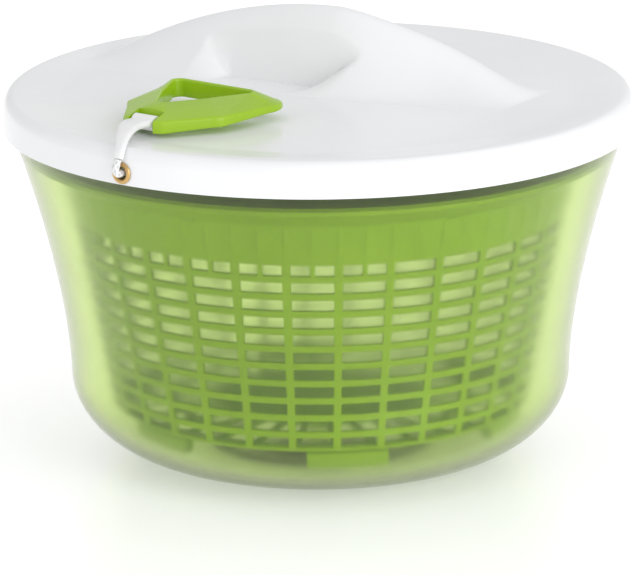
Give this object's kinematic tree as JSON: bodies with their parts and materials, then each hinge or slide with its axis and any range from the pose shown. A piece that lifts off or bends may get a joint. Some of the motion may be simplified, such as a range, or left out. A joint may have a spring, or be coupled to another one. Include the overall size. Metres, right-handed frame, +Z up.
{
  "type": "salad spinner",
  "caption": "Round salad spinner with a frosted bowl, slotted inner basket, white humped lid and a pull-cord drive with a loop handle.",
  "frame": {"origin": "centre of the footprint, on the surface that the spinner stands on", "axes": "+Z up along the spin axis, -Y towards the front, +X to the right"},
  "size_m": [0.264, 0.264, 0.1881],
  "materials": {
    "bowl_plastic": "frosted, translucent",
    "foot_rubber": "matt",
    "basket_plastic": "satin",
    "lid_plastic": "gloss",
    "inner_plastic": "satin",
    "acetal": "satin",
    "steel": "zinc plated",
    "brass": "satin",
    "cord": "braided",
    "clip_plastic": "satin",
    "handle_plastic": "satin"
  },
  "bodies": {
    "bowl": {"bowl": "bowl_plastic", "foot_ring": "foot_rubber"},
    "basket": {"basket": "basket_plastic"},
    "lid": {"lid_cover": "lid_plastic", "lid_plate": "inner_plastic", "mech_case": "inner_plastic", "case_screw_1": "steel", "case_screw_2": "steel", "case_screw_3": "steel", "cover_screw_1": "steel", "cover_screw_2": "steel", "axle": "steel", "drive_washer": "steel", "retaining_screw": "steel", "return_spring": "steel", "eyelet": "brass", "cord_run": "cord"},
    "drive": {"drive_hub": "acetal", "drive_disc": "inner_plastic", "hub_screw_1": "steel", "hub_screw_2": "steel", "hub_screw_3": "steel"},
    "drum": {"cord_drum": "acetal", "cord_coil": "cord"},
    "clutch": {"clutch_cage": "acetal", "clutch_roller_1": "steel", "clutch_roller_2": "steel", "clutch_roller_3": "steel"},
    "pull": {"cord_clip": "clip_plastic", "cord_lead": "cord"},
    "handle": {"handle": "handle_plastic"}
  },
  "joints": [
    {"name": "basket_spin", "type": "hinge", "parent": "bowl", "child": "basket", "pos_m": [0, 0, 0.02], "axis": [0, 0, 1], "continuous": true},
    {"name": "lid_lift", "type": "slide", "parent": "bowl", "child": "lid", "axis": [0, 0, 1], "range_m": [0, 0.2]},
    {"name": "drive_spin", "type": "hinge", "parent": "lid", "child": "drive", "pos_m": [0, 0, 0.14], "axis": [0, 0, 1], "continuous": true},
    {"name": "handle_pull", "type": "slide", "parent": "lid", "child": "pull", "axis": [-0.6023, -0.7935, 0.0872], "range_m": [0, 0.5], "stiffness_N_per_m": 10, "springref_m": -0.3, "deforming": ["cord_lead"]},
    {"name": "drum_turn", "type": "hinge", "parent": "lid", "child": "drum", "pos_m": [0, 0, 0.146], "axis": [0, 0, 1], "range_deg": [-1100, 0]},
    {"name": "clutch_shift", "type": "hinge", "parent": "drum", "child": "clutch", "pos_m": [0, 0, 0.146], "axis": [0, 0, 1], "range_deg": [0, 6]},
    {"name": "handle_tilt", "type": "hinge", "parent": "pull", "child": "handle", "pos_m": [-0.07053, -0.07389, 0.1606], "axis": [0.7965, -0.6046, 0], "range_deg": [0, 90]}
  ],
  "couplings": [
    {"joint": "drive_spin", "follows": "basket_spin", "ratio": 1},
    {"joint": "drum_turn", "follows": "handle_pull", "rad_per_m": -37.7}
  ]
}
